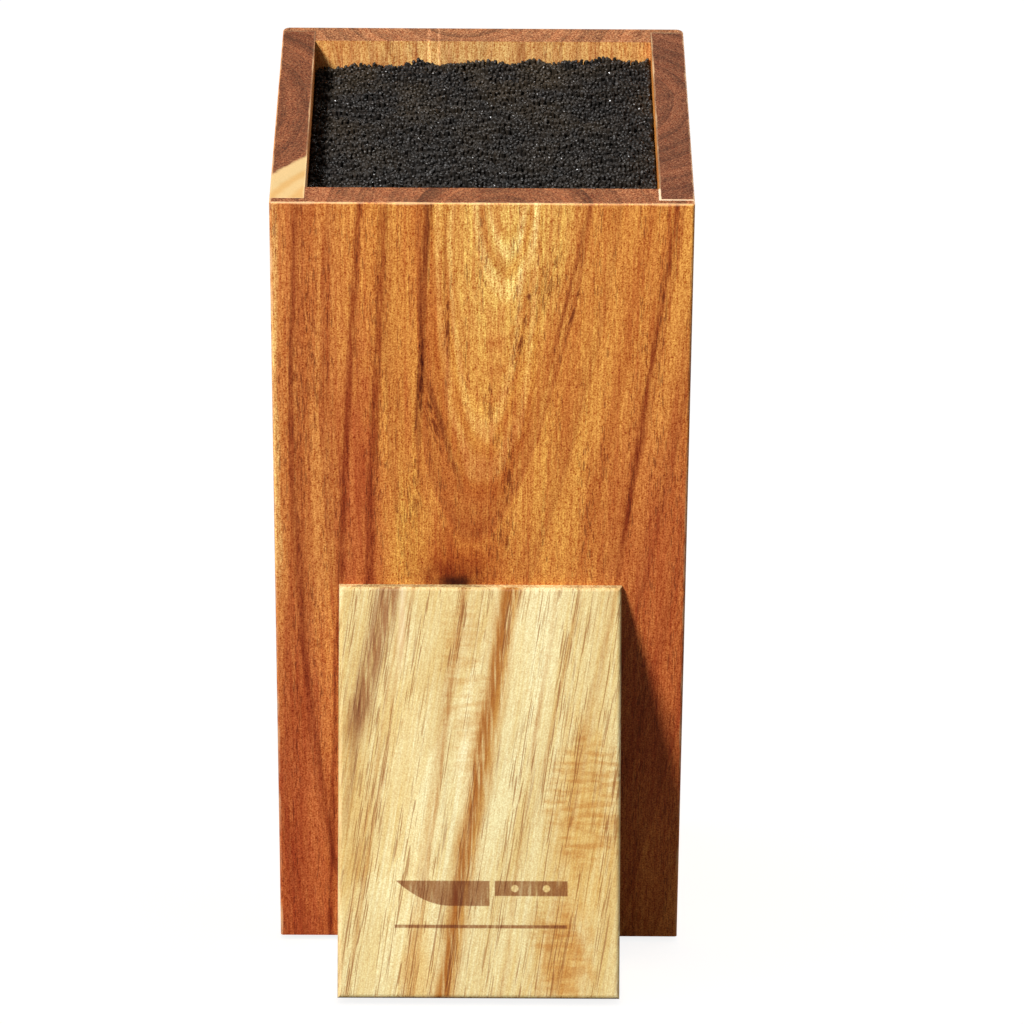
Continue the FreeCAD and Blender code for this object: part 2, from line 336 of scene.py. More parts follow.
def give(material, *node_names):
    """Put a material on CAD parts."""
    for name in node_names:
        slots = frame["nodes"][name].data.materials
        slots.clear()
        slots.append(material)
    print("finish:", material.name, "on", ", ".join(node_names))


# %% [markdown]
# ## Solid wood
#
# Wood isn't a picture glued to a board, it is a solid. A tree grows a ring each year around its
# pith, and a saw cuts through those rings. So this group works out how far a point lies from the
# pith, in all three directions, and turns that into rings. A board cut near the pith then shows
# arches on its face, straight lines on its edge and arcs on its end, all of them joined up at the
# corners, as on real wood. The pith is a line that may lean, which is what closes the arches.
#
# The rings alone look like stripes of paint. The rest is fibre: long fine streaks, a
# short-grained sparkle and open pores, which all run along the grain. On a sawn end the same
# fibres are seen from their tips, where oil soaks in, so the end comes out darker and finely
# dotted.

# %% Wood group
wood, given, result = new_group(
    "solid wood",
    {"color": (0, 0, 0, 1), "end_mask": 0.0, "roughness": 0.0, "height": 0.0},
    place=ORIGIN, normal=UP, grain=UP, pith=ORIGIN, pith_lean=ORIGIN, ring_width=8.0,
    wander=6.0, ring_depth=0.3, band_depth=0.6, sparkle=2.4, pore_depth=0.5, pore_length=3.5,
    pore_start=0.60, pale=(0.6, 0.3, 0.1, 1), deep=(0.4, 0.15, 0.04, 1),
    line=(0.2, 0.06, 0.02, 1), end=(0.15, 0.06, 0.03, 1))
place = given["Place"]

# Rings: the distance from a leaning, wandering pith.
cloud = noise(place, (40, 40, 110), detail=3.0, output="Color")
cloud = vector_calc("SUBTRACT", cloud, (0.5, 0.5, 0.5))
offset = put(
    wood, "VectorMath", {0: cloud, "Scale": given["Wander"]}, operation="SCALE").outputs[0]
parts = split(vector_calc("ADD", place, offset))
pith = split(given["Pith"])
lean_of_pith = split(given["Pith Lean"])
reach = []
for axis in (0, 1):
    line_at = calc("MULTIPLY_ADD", parts[2], lean_of_pith[axis], pith[axis])
    reach.append(minus(parts[axis], line_at))
squares = [times(r, r) for r in reach]
radius = calc("SQRT", calc("ADD", *squares))
turns = calc("DIVIDE", radius, given["Ring Width"])

# Each ring darkens towards its outer edge, and no two rings are alike.
year = calc("FLOOR", turns)
within = calc("FRACT", turns)
luck = put(wood, "TexWhiteNoise", {"W": year}, noise_dimensions="1D").outputs["Value"]
late = calc("POWER", within, 2.6)
late = times(late, levels(within, 0.93, 1.0, 1.0, 0.0))
late = times(late, calc("MULTIPLY_ADD", luck, 0.85, 0.15))
fine_turns = times(turns, 4.3)
fine_ring = calc("PINGPONG", fine_turns, 0.5)
slow = put(
    wood, "TexNoise", {"W": times(turns, 0.55), "Scale": 1.0, "Detail": 1.0},
    noise_dimensions="1D",
).outputs["Fac"]

# Fibres: long streaks, a short sparkle, and pores as dark dashes that keep to bands.
streaks = noise(place, (0.7, 0.7, 32), detail=3.0)
sparkle = noise(place, (0.40, 0.40, 0.40), detail=1.0)
fibres = noise(place, (0.36, 0.36, 2.4), detail=1.0)
patches = noise(place, (6, 6, 34))
pore_size = put(wood, "CombineXYZ", {0: 0.30, 1: 0.30, 2: given["Pore Length"]}).outputs[0]
dashes = noise(place, pore_size, detail=0.0)
pore_bands = noise(place, (2.6, 2.6, 50))
pores = levels(dashes, given["Pore Start"], calc("ADD", given["Pore Start"], 0.09))
pores = times(pores, levels(pore_bands, 0.44, 0.60, 0.08, 1.0))

# Put the tones together, from the broadest to the finest.
tone = sway(0.5, within, 0.35)
tone = sway(tone, slow, 2.6)
tone = sway(tone, patches, 1.5)
tone = sway(tone, fine_ring, 0.8, middle=0.25)
tone = times(minus(tone, 0.5), given["Band Depth"])
tone = sway(tone, streaks, 1.9)
tone = calc("ADD", tone, 0.5, clamp=True)
colour = mix_colour(tone, given["Pale"], given["Deep"])
ring_amount = times(late, given["Ring Depth"], clamp=True)
colour = mix_colour(ring_amount, colour, given["Line"])

# The sawn end.
facing_grain = vector_calc("DOT_PRODUCT", given["Normal"], given["Grain"], output="Value")
sawn = levels(calc("ABSOLUTE", facing_grain), 0.75, 0.92)
end_tone = sway(1.05, tone, -0.9)
end_tone = calc("MULTIPLY_ADD", late, -0.32, end_tone)
end_tint = put(wood, "CombineColor", {0: end_tone, 1: end_tone, 2: end_tone}).outputs[0]
end_colour = mix_colour(1.0, given["End"], end_tint, "MULTIPLY")
colour = mix_colour(sawn, colour, end_colour)

# Sparkle and pores work on both.
shine = calc("MULTIPLY_ADD", fibres, 0.55, sparkle)
shine = times(minus(shine, 0.775), given["Sparkle"])
shine = times(shine, calc("MULTIPLY_ADD", sawn, 0.7, 1.0))
# Where the wood is dark, red sinks in least and blue most.
SHINE_SHARES = (0.62, 1.05, 1.4)
shine_tint = put(wood, "CombineColor", {
    channel: calc("MAXIMUM", calc("MULTIPLY_ADD", shine, share, 1.0), 0.2)
    for channel, share in enumerate(SHINE_SHARES)
}).outputs[0]
colour = mix_colour(1.0, colour, shine_tint, "MULTIPLY")
pore_amount = times(pores, given["Pore Depth"])
colour = mix_colour(pore_amount, colour, given["Line"])
wood.links.new(colour, result["Color"])
wood.links.new(sawn, result["End Mask"])

gloss = calc("MULTIPLY_ADD", streaks, 0.16, 0.38)
gloss = calc("MULTIPLY_ADD", sawn, 0.18, gloss)
wood.links.new(gloss, result["Roughness"])
height = calc("MULTIPLY_ADD", pores, -0.8, times(streaks, 0.5))
height = calc("MULTIPLY_ADD", sparkle, 0.25, height)
wood.links.new(height, result["Height"])

# %% [markdown]
# ## Marks on the wood
#
# A few things on this block are single events, not a pattern: a dark mineral line that runs up a
# board, a stripe of pale sapwood, a knot. `stripe` draws one line up the grain, which may slant,
# bow, wander and fade out at both ends. `spot` draws one oval, and `arch` only its rim, for a
# ring that shows as a U. `flecks` draws a small crowd of dark threads, as where the surface has
# torn a little. Each gives a mask, and the material decides what colour it lets in.

# %% Stripe group
stripe, given, result = new_group(
    "stripe", MASK, place=ORIGIN, start=0.0, slant=0.0, bow=0.0, half_width=1.0, low=-50.0,
    high=300.0, wander=1.0)
BOW_MIDDLE = 170.0
BOW_REACH = 50.0
FADE_OUT = 16.0
parts = split(given["Place"])
line_x = calc("MULTIPLY_ADD", parts[2], given["Slant"], given["Start"])
up_it = calc("DIVIDE", minus(parts[2], BOW_MIDDLE), BOW_REACH)
line_x = calc("MULTIPLY_ADD", times(up_it, up_it), given["Bow"], line_x)
across = minus(parts[0], line_x)
drift = noise(given["Place"], (60, 200, 34), detail=1.0)
drift = times(minus(drift, 0.5), given["Wander"])
across = calc("ADD", across, drift)
swell = noise(given["Place"], (9, 60, 16))
half = times(given["Half Width"], calc("MULTIPLY_ADD", swell, 1.2, 0.5))
away = calc("DIVIDE", calc("ABSOLUTE", across), half)
line = levels(away, 0.25, 1.35, 1.0, 0.0)
foot_of_it = calc("ADD", given["Low"], FADE_OUT)
top_of_it = minus(given["High"], FADE_OUT)
line = times(line, levels(parts[2], given["Low"], foot_of_it))
line = times(line, levels(parts[2], top_of_it, given["High"], 1.0, 0.0))
grain_in_it = noise(given["Place"], (0.8, 0.8, 11))
line = times(line, levels(grain_in_it, 0.25, 0.6, 0.35, 1.0))
stripe.links.new(line, result["Mask"])

# %% Spot group
spot, given, result = new_group(
    "spot", MASK, place=ORIGIN, middle=ORIGIN, size=(5, 5, 5), ragged=0.5, solid_part=0.2)
away = vector_calc("SUBTRACT", given["Place"], given["Middle"])
away = vector_calc("DIVIDE", away, given["Size"])
distance = vector_calc("LENGTH", away, output="Value")
rough = noise(given["Place"], (2.5, 2.5, 7), detail=3.0)
rough = times(minus(rough, 0.5), given["Ragged"])
distance = calc("ADD", distance, rough)
spot.links.new(levels(distance, given["Solid Part"], 1.0, 1.0, 0.0), result["Mask"])

# %% Arch group
arch, given, result = new_group(
    "arch", MASK, place=ORIGIN, middle=ORIGIN, size=(5, 500, 20), half_width=0.1)
away = vector_calc("SUBTRACT", given["Place"], given["Middle"])
away = vector_calc("DIVIDE", away, given["Size"])
WOBBLE = 0.22
from_curve = minus(vector_calc("LENGTH", away, output="Value"), 1.0)
wobble = noise(given["Place"], (7, 60, 22))
wobble = times(minus(wobble, 0.5), WOBBLE)
from_curve = calc("ABSOLUTE", calc("ADD", from_curve, wobble))
curve = levels(calc("DIVIDE", from_curve, given["Half Width"]), 0.2, 1.1, 1.0, 0.0)
threads = noise(given["Place"], (0.8, 0.8, 9))
threads = levels(threads, 0.2, 0.55, 0.6, 1.0)
arch.links.new(times(curve, threads), result["Mask"])

# %% Flecks group
flecks, given, result = new_group(
    "flecks", MASK, place=ORIGIN, middle=ORIGIN, size=(5, 5, 5), slant=0.0)
from_middle = vector_calc("SUBTRACT", given["Place"], given["Middle"])
parts = split(from_middle)
slid = times(parts[2], given["Slant"])
upright = put(flecks, "CombineXYZ", {
    0: minus(parts[0], slid), 1: parts[1], 2: parts[2],
}).outputs[0]
away = vector_calc("DIVIDE", upright, given["Size"])
distance = vector_calc("LENGTH", away, output="Value")
near_middle = levels(distance, 0.3, 1.0, 1.0, 0.0)
threads = noise(upright, (0.42, 0.42, 3.4), detail=1.0)
threads = levels(calc("MULTIPLY_ADD", near_middle, 0.12, threads), 0.64, 0.72)
flecks.links.new(times(threads, near_middle), result["Mask"])

# %% [markdown]
# ## Glued joints
#
# The front and back boards are rabbeted over the ends of the side boards. From above, each
# corner joint is a thin L. Most are a dark hairline; where glue was squeezed out and sanded
# flush, it is pale. The group measures how far a point is from the two arms of one L.

# %% Seam group
seam, given, result = new_group(
    "seam", MASK, place=ORIGIN, corner=ORIGIN, way=(1, 1, 0), arms=(9, 6, 0), half_width=0.2)
from_corner = vector_calc("SUBTRACT", given["Place"], given["Corner"])
parts = split(vector_calc("MULTIPLY", from_corner, given["Way"]))
arms = split(given["Arms"])
distances = []
for along_it, across_it in ((0, 1), (1, 0)):
    aside = calc("ABSOLUTE", parts[across_it])
    before = times(parts[along_it], -1.0)
    beyond = minus(parts[along_it], arms[along_it])
    distances.append(calc("MAXIMUM", aside, calc("MAXIMUM", before, beyond)))
nearest = calc("MINIMUM", *distances)
uneven = noise(given["Place"], (3, 3, 12))
nearest = calc("DIVIDE", nearest, calc("MULTIPLY_ADD", uneven, 1.6, 0.2))
nearest = calc("DIVIDE", nearest, given["Half Width"])
seam.links.new(levels(nearest, 0.4, 1.4, 1.0, 0.0), result["Mask"])

# %% [markdown]
# ## Worn edges and painted highlights
#
# The sharp edges of a sanded board lose their finish first, and their rounding catches the light,
# so the pale line is partly wear and partly a painted highlight. This group takes the corners of
# the box that a part fills and measures how near a point is to any two of its faces at once, which
# only happens beside an edge. Noise breaks the line up.

# %% Worn edge and painted highlight group
worn_and_highlit_edge, given, result = new_group(
    "worn and highlit edge", MASK, place=ORIGIN, low_corner=ORIGIN, high_corner=(1, 1, 1), width=1.0)
from_low = vector_calc("SUBTRACT", given["Place"], given["Low Corner"])
from_high = vector_calc("SUBTRACT", given["High Corner"], given["Place"])
nearest = split(vector_calc("MINIMUM", from_low, from_high))
pairs = [calc("ADD", nearest[a], nearest[b]) for a, b in ((0, 1), (1, 2), (0, 2))]
edge = calc("MINIMUM", calc("MINIMUM", pairs[0], pairs[1]), pairs[2])
ragged = noise(given["Place"], (5, 5, 9), detail=3.0)
ragged = levels(ragged, 0.3, 0.7, 0.7, 1.3)
reach_in = times(given["Width"], ragged)
# The pale edge: partly wear, partly a painted highlight where the rounded edge catches the light.
bare = levels(calc("DIVIDE", edge, reach_in), 0.45, 1.0, 1.0, 0.0)
rubbed = noise(given["Place"], (16, 16, 22))
rubbed = levels(rubbed, 0.38, 0.6, 0.3, 1.0)
worn_and_highlit_edge.links.new(times(bare, rubbed), result["Mask"])

# %% [markdown]
# ## Finishing a wooden part
#
# `wooden` makes the finish of one part: the solid wood, then its marks, then its edges, worn and
# with a painted highlight. The boards of the box are all of one timber, so `finish_board` gives
# them its colours. A mark is a mask and a tint. Most tints multiply, so the grain stays visible
# through them. Most marks stop at the sawn ends, where the fibres show from their tips; some go
# everywhere, some are only there.

# %% Helper for wooden finishes
# Pale tint of the edges: partly wear, partly a painted highlight where the rounding catches light.
EDGE_WEAR_AND_HIGHLIGHT_TINT = (0.74, 0.50, 0.26, 1)
TORN_TINT = (0.30, 0.13, 0.10)
GLUE_TINT, JOINT_TINT = (0.80, 0.62, 0.42), (0.48, 0.38, 0.34)
OILED_GLOSS = 0.25
FIBRE_RELIEF = 0.00012
# In millimetres: below and above every part, wider than the block, and half widths of joints.
LOW_DOWN, HIGH_UP, FAR = -50.0, 300.0, 500.0
GLUE_LINE, HAIRLINE = 0.30, 0.17


def add_mark(place, sawn, colour, mark):
    """Lay one mark over a colour."""
    group, tint, strength, how, where, values = mark
    mask = times(use_group(group, place=place, **values)["Mask"], strength)
    if where == "sides":
        mask = times(mask, minus(1.0, sawn))
    elif where == "ends":
        mask = times(mask, sawn)
    return mix_colour(mask, colour, (*tint, 1), how)


def line_mark(start, slant, half_width, strength, low=LOW_DOWN, high=HIGH_UP, wander=2.0, bow=0.0,
              tint=(0.46, 0.22, 0.18), where="sides", how="MULTIPLY"):
    """A line up the grain, dark unless the tint is pale."""
    values = {
        "start": start, "slant": slant, "bow": bow, "half_width": half_width,
        "low": low, "high": high, "wander": wander,
    }
    return stripe, tint, strength, how, where, values


def fleck_mark(x, z, half_width, half_height, slant=0.0, strength=0.8):
    """A crowd of dark threads."""
    values = {"middle": (x, 0, z), "size": (half_width, FAR, half_height), "slant": slant}
    return flecks, TORN_TINT, strength, "MULTIPLY", "sides", values


def zone_mark(middle, size, tint, strength=1.0, ragged=0.3, solid_part=0.2, where="sides",
              how="MULTIPLY"):
    """A patch of another tone, soft unless solid_part is near one."""
    values = {"middle": middle, "size": size, "ragged": ragged, "solid_part": solid_part}
    return spot, tint, strength, how, where, values


def face_mark(x, z, half_width, half_height, tint, **options):
    """A patch as seen on a face. It goes straight through the part."""
    return zone_mark((x, 0, z), (half_width, FAR, half_height), tint, **options)


def arch_mark(x, z, half_width, half_height, rim, strength, tint):
    """A ring that shows as a U: the rim of an oval. Half the rim is a share of the oval's size."""
    values = {"middle": (x, 0, z), "size": (half_width, FAR, half_height), "half_width": rim}
    return arch, tint, strength, "MULTIPLY", "sides", values


def seam_mark(side, face, glue=False):
    """One corner joint of the box. side is -1 left or 1 right, face is -1 front or 1 back."""
    corner_y = left_low.y if face < 0 else left_high.y
    values = {
        "corner": Vector((side * -left_high.x, corner_y, 0)) * 1000,
        "way": (side, -face, 0),
        "arms": (board * 1000, (board - left_low.y) * 1000, 0),
        "half_width": GLUE_LINE if glue else HAIRLINE,
    }
    if glue:
        return seam, GLUE_TINT, 0.8, "MIX", "ends", values
    return seam, JOINT_TINT, 0.75, "MULTIPLY", "everywhere", values


def wooden(name, axes, corners, marks, edge_width=0.8, edge_strength=0.55, grain_axes=None,
           **grain):
    """The finish of one wooden part. axes are the part's own, and corners its box in them."""
    material, tree, shader = new_material(name)
    place = place_in(tree, axes)
    normal = put(tree, "TexCoord").outputs["Normal"]
    grain_place = place if grain_axes is None else place_in(tree, grain_axes)
    along = (grain_axes or axes).to_3x3() @ Vector(UP)
    wood_out = use_group(wood, place=grain_place, normal=normal, grain=along, **grain)
    colour = wood_out["Color"]
    for mark in marks:
        colour = add_mark(place, wood_out["End Mask"], colour, mark)
    low, high = corners
    # The pale edge is partly wear and partly a painted highlight.
    edge = use_group(
        worn_and_highlit_edge, place=place, low_corner=low * 1000, high_corner=high * 1000,
        width=edge_width)["Mask"]
    colour = mix_colour(times(edge, edge_strength), colour, EDGE_WEAR_AND_HIGHLIGHT_TINT)
    shader.inputs["Specular IOR Level"].default_value = OILED_GLOSS
    bump(shader, wood_out["Height"], 0.35, FIBRE_RELIEF)
    connect(shader, roughness=wood_out["Roughness"])
    return material, shader, place, colour


GOLD = (0.68, 0.285, 0.055, 1)
RUST = (0.49, 0.135, 0.025, 1)
MINERAL = (0.15, 0.028, 0.007, 1)


def finish_board(node, end, corners, marks, axes=box_axes, **grain):
    """Finish one of the acacia boards. end is the colour of its sawn ends."""
    finish, shader, _, colour = wooden(
        node.replace("_", " ") + " wood", axes, corners, marks,
        pale=GOLD, deep=RUST, line=MINERAL, end=end, **grain)
    connect(shader, base_color=colour)
    give(finish, node)


# %% [markdown]
# ## Front board
#
# The front board is plain-sawn heartwood. Its pith lay in front of the face, 50 mm away at the
# bottom and 3 mm at the top, so the rings close into U shapes near the middle and run straight at
# the sides. The top middle is golden, the left side redder, and mineral lines run up it. A knot
# sits just above the foot. A pale strip up the left edge is a painted highlight, where the
# rounded edge catches the light.

# %% Front board
SOFT_RED = (0.74, 0.50, 0.44)
PALE_RING = (1.17, 1.42, 1.85)
DARK_RING = (0.84, 0.66, 0.50)
corner_seams = [
    seam_mark(-1, -1), seam_mark(-1, 1), seam_mark(1, 1), seam_mark(1, -1),
    seam_mark(1, -1, glue=True),
]
front_marks = [
    # Broad changes: golden at the top middle, redder at the sides, and darker and redder towards
    # the bottom.
    face_mark(6, 226, 27, 54, (1.21, 1.82, 2.2)),
    face_mark(-1, 175, 14, 42, (1.09, 1.26, 1.32)),
    face_mark(20, 160, 18, 75, (1.04, 1.13, 1.12), ragged=0.6),
    face_mark(-19, 126, 6.5, 26, (1.18, 1.46, 1.40), ragged=0.6),
    face_mark(-50, 150, 26, 260, (0.90, 0.80, 0.96)),
    face_mark(-32, 132, 10, 80, (0.79, 0.54, 0.62), ragged=0.6),
    face_mark(-50, 30, 22, 110, (0.86, 0.76, 0.90)),
    face_mark(50, 100, 32, 110, (0.79, 0.54, 0.64)),
    face_mark(0, -10, 220, 150, (0.86, 0.68, 0.74)),
    # The arches: bright rings, each with a darker one inside it.
    face_mark(6.2, 232, 8.4, 32, (1.05, 1.12, 1.18), ragged=0.12, solid_part=0.8),
    arch_mark(6.2, 232, 8.2, 31, 0.14, 0.85, PALE_RING),
    arch_mark(6.4, 232, 6.6, 25.5, 0.11, 0.75, DARK_RING),
    arch_mark(6.6, 232, 5.0, 20, 0.13, 0.75, PALE_RING),
    arch_mark(6.8, 232, 3.6, 15, 0.13, 0.65, DARK_RING),
    arch_mark(1.0, 214, 9.0, 55, 0.09, 0.60, PALE_RING),
    arch_mark(1.0, 214, 10.6, 61, 0.06, 0.60, DARK_RING),
    arch_mark(1.2, 214, 12.6, 68, 0.07, 0.50, PALE_RING),
    arch_mark(1.2, 214, 14.2, 74, 0.05, 0.55, DARK_RING),
    # Dark lines, from left to right.
    line_mark(-50.0, 0.0, 0.8, 0.55, high=235, bow=1.2),
    line_mark(-50.6, 0.026, 2.3, 0.70, tint=SOFT_RED),
    line_mark(-53.6, 0.024, 1.2, 0.55, wander=3.0, tint=SOFT_RED),
    line_mark(-41.6, 0.003, 1.0, 0.60, low=150, wander=3.0, tint=SOFT_RED),
    line_mark(-43.6, 0.051, 1.0, 0.90, wander=1.0, bow=0.2),
    line_mark(-34.6, 0.040, 1.3, 0.85, wander=1.5),
    line_mark(-22.5, 0.035, 1.1, 0.88, low=150, wander=2.5, bow=0.7, tint=(0.34, 0.17, 0.15)),
    line_mark(36.1, -0.290, 0.9, 0.75, low=136, high=184, wander=1.5, tint=(0.34, 0.18, 0.16)),
    line_mark(-9.4, 0.000, 0.5, 0.55, low=160, high=228, wander=3.0),
    line_mark(-18.0, 0.010, 0.5, 0.40, low=120, high=200, wander=4.0),
    line_mark(-19.3, 0.214, 0.5, 0.80, low=110, high=216, wander=0.8, tint=(1.18, 1.40, 1.5)),
    line_mark(-20.6, 0.216, 0.6, 0.60, low=176, high=250, wander=0.8),
    line_mark(22.4, 0.124, 0.8, 0.90, wander=0.6),
    line_mark(8.5, 0.158, 1.9, 0.60, low=100, wander=3.0, tint=SOFT_RED),
    line_mark(27.0, 0.095, 1.2, 0.40, low=100, wander=4.0, tint=SOFT_RED),
    # Torn threads beside the lines.
    fleck_mark(10.4, 188, 2.6, 15, 0.16),
    fleck_mark(-16.0, 176, 1.8, 22, 0.0),
    fleck_mark(-13.0, 163, 2.4, 14, -0.25),
    fleck_mark(7.2, 148, 2.2, 18, 0.02),
    fleck_mark(18.0, 205, 4.0, 16, 0.2, 0.6),
    fleck_mark(24.0, 196, 1.4, 14, 0.22),
    fleck_mark(-9.0, 192, 1.2, 16, 0.0),
    fleck_mark(-18.0, 140, 5.0, 24, 0.0, 0.5),
    fleck_mark(2.0, 168, 3.0, 12, 0.0, 0.6),
    fleck_mark(6.8, 128, 2.6, 10, 0.0, 0.6),
    fleck_mark(-46.0, 175, 8.0, 60, 0.02, 0.45),
    # The knot, a pin knot, and a painted highlight up the left edge, where its rounding catches
    # light.
    face_mark(-5, 120, 22, 18, (0.73, 0.49, 0.40), ragged=0.6, solid_part=0.0),
    face_mark(-6.4, 115, 13, 8.0, (0.50, 0.30, 0.24), ragged=0.6, solid_part=0.0),
    face_mark(-6.6, 113.2, 8.0, 3.4, (0.14, 0.08, 0.08), ragged=0.5, solid_part=0.1),
    face_mark(12.3, 199, 0.9, 1.6, (0.36, 0.20, 0.2)),
    line_mark(-54.5, 0.0, 1.2, 0.9, low=105, wander=0.8, tint=(1.35, 2.2, 2.9)),
]
finish_board(
    "front_board", (0.195, 0.066, 0.024, 1), (box_low, box_high), front_marks + corner_seams,
    edge_width=0.7, edge_strength=0.5, pith=(-11.3, -49.6, 0), pith_lean=(0.075, 0.206, 0),
    ring_width=7.8, wander=5.0, ring_depth=0.26, band_depth=0.7, sparkle=2.5, pore_depth=0.55,
    pore_length=3.2)

# %% [markdown]
# ## The other three walls
#
# They come from the same timber and take the same group with another pith, so that no two boards
# match. The left board keeps a wedge of sapwood at its front end, which goes right through it.
# The back board has two pale rays that cross its rim.

# %% Side and back boards
SAP_MIDDLE = (-4.1, -15.9, 226)
SAP_SIZE = (60.9, 60.9, FAR)
# Rings around the wedge of sapwood: how wide, which tint and how crisp.
SAP_RINGS = [
    (56, (0.93, 0.80, 0.62), 0.965),
    (53.5, (1.08, 1.24, 1.55), 0.965),
    (50.5, (0.94, 0.82, 0.66), 0.955),
]
left_marks = [
    zone_mark(SAP_MIDDLE, SAP_SIZE, (0.58, 0.41, 0.185), 0.80, ragged=0.045, solid_part=0.975,
              where="ends", how="MIX"),
    zone_mark(SAP_MIDDLE, SAP_SIZE, (0.62, 0.45, 0.24), 0.62, ragged=0.025, solid_part=0.975,
              how="MIX"),
    *[
        zone_mark(SAP_MIDDLE, (width, width, FAR), tint, ragged=0.03, solid_part=crisp,
                  where="everywhere")
        for width, tint, crisp in SAP_RINGS
    ],
    line_mark(-52.0, 0.004, 1.6, 0.4),
]
DARK_END = (0.150, 0.047, 0.017, 1)
finish_board(
    "left_board", DARK_END, (left_low, left_high), left_marks + corner_seams, edge_width=0.5,
    edge_strength=0.4, pith=(-120, 78, 0), pith_lean=(0.05, -0.1, 0), ring_width=5.2,
    wander=8.0, ring_depth=0.35, pore_depth=0.55)
finish_board(
    "right_board", (0.128, 0.042, 0.017, 1), box_in_axes(["right_board"], box_axes),
    corner_seams, edge_width=0.5, edge_strength=0.55, pith=(12, 46, 0),
    pith_lean=(0.04, 0.07, 0), ring_width=5.0, wander=8.0, ring_depth=0.35, pore_depth=0.5)

RAY = {"low": 208, "wander": 0.0, "tint": (1.8, 2.1, 2.4), "where": "everywhere"}
back_marks = [
    zone_mark((0, 96, 215), (90, 12, 60), (1.05, 1.66, 3.1)),
    line_mark(-14.8, 0.0, 0.45, 0.9, **RAY),
    line_mark(-12.1, 0.0, 0.35, 0.8, **RAY),
    line_mark(24.0, -0.06, 1.4, 0.6, wander=5.0),
    line_mark(-38.0, 0.05, 1.1, 0.6, wander=5.0),
]
finish_board(
    "back_board", (0.26, 0.100, 0.038, 1), (box_low, box_high), back_marks + corner_seams,
    edge_width=0.5, edge_strength=0.5, pith=(22, 138, 0), pith_lean=(-0.12, -0.09, 0),
    ring_width=4.6, wander=9.0, ring_depth=0.3, band_depth=0.45, pore_depth=0.4)

# The base board's grain runs from front to back.
base_axes = box_axes @ Matrix.Rotation(math.radians(90), 4, "X")
finish_board(
    "base_board", DARK_END, (box_low, box_high), [], axes=base_axes, edge_strength=0.0,
    pith=(10, 60, 0), ring_width=5.0)

# %% [markdown]
# ## Front foot
#
# The foot is pale sapwood, cut so that its grain slants to the right by about nine degrees. A
# brown streak of heartwood crosses the middle, a purplish one the top left corner. The right
# side has curly figure, where the fibres wave and show as short bars across the grain.

# %% Foot wood
CREAM = (0.560, 0.475, 0.248, 1)
HONEY = (0.490, 0.350, 0.132, 1)
FOOT_LINE = (0.240, 0.105, 0.028, 1)
FOOT_END = (0.40, 0.26, 0.11, 1)
BROWN = (0.70, 0.46, 0.28)
PURPLE = (0.50, 0.30, 0.24)
GRAIN_SLANT = math.radians(8.8)
foot_grain = foot_axes @ Matrix.Rotation(GRAIN_SLANT, 4, "Y")
foot_corners = (Vector((-foot_half, 0, 0)), Vector((foot_half, 1, foot_face_high.z)))

foot_marks = [
    face_mark(-20, 45, 13, 70, (1.10, 1.13, 1.18), ragged=0.6),
    face_mark(-3.5, 70, 5, 44, (1.06, 1.09, 1.16), ragged=0.6),
    face_mark(14, 96, 12, 40, (1.06, 1.09, 1.14), ragged=0.8),
    face_mark(28, 44, 12, 44, (0.95, 0.81, 0.60), ragged=0.9),
    face_mark(23, 10, 10, 20, (0.90, 0.70, 0.47), ragged=0.9),
    face_mark(-34, 50, 8, 44, (0.95, 0.84, 0.68), ragged=0.6),
    face_mark(-16, 6, 7, 22, (0.92, 0.78, 0.60), ragged=0.9),
    line_mark(-9.4, 0.158, 3.5, 0.95, wander=1.5, tint=(0.67, 0.37, 0.11)),
    line_mark(-9.9, 0.158, 1.7, 0.85, wander=1.5, tint=(0.66, 0.42, 0.24)),
    line_mark(-15.0, 0.158, 1.5, 0.80, wander=1.5, tint=(1.06, 1.12, 1.22)),
    line_mark(-51.5, 0.248, 3.3, 1.0, low=62, wander=0.8, tint=PURPLE),
    line_mark(-42.0, 0.120, 1.2, 0.50, low=40, high=95, wander=3.0, tint=PURPLE),
    line_mark(-25.0, 0.040, 1.0, 0.5, low=84, wander=0.6, tint=(0.68, 0.57, 0.37), how="MIX"),
    line_mark(-35.8, 0.158, 0.7, 0.60, tint=BROWN),
    line_mark(-38.6, 0.170, 0.6, 0.50, tint=BROWN),
    line_mark(-20.0, 0.140, 1.6, 0.45, tint=BROWN),
    line_mark(-17.8, 0.120, 0.6, 0.60, tint=BROWN),
    line_mark(3.4, 0.160, 0.6, 0.55, low=58, high=96, wander=1.0, tint=BROWN),
    line_mark(5.2, 0.195, 0.6, 0.60, low=50, wander=1.0, tint=BROWN),
    line_mark(6.0, 0.130, 0.7, 0.40, wander=3.0, tint=BROWN),
    line_mark(12.5, 0.215, 0.7, 0.45, low=50, tint=BROWN),
    line_mark(15.8, 0.190, 0.9, 0.35, tint=BROWN),
]
foot_finish, foot_shader, place, colour = wooden(
    "foot wood", foot_axes, foot_corners, foot_marks, edge_width=0.9, edge_strength=0.35,
    grain_axes=foot_grain, pith=(-38, -60, 0), pith_lean=(0.02, 0.05, 0), ring_width=6.5,
    wander=9.0, ring_depth=0.12, band_depth=0.66, sparkle=0.85, pore_depth=0.75,
    pore_length=9.0, pore_start=0.555, pale=CREAM, deep=HONEY, line=FOOT_LINE, end=FOOT_END)

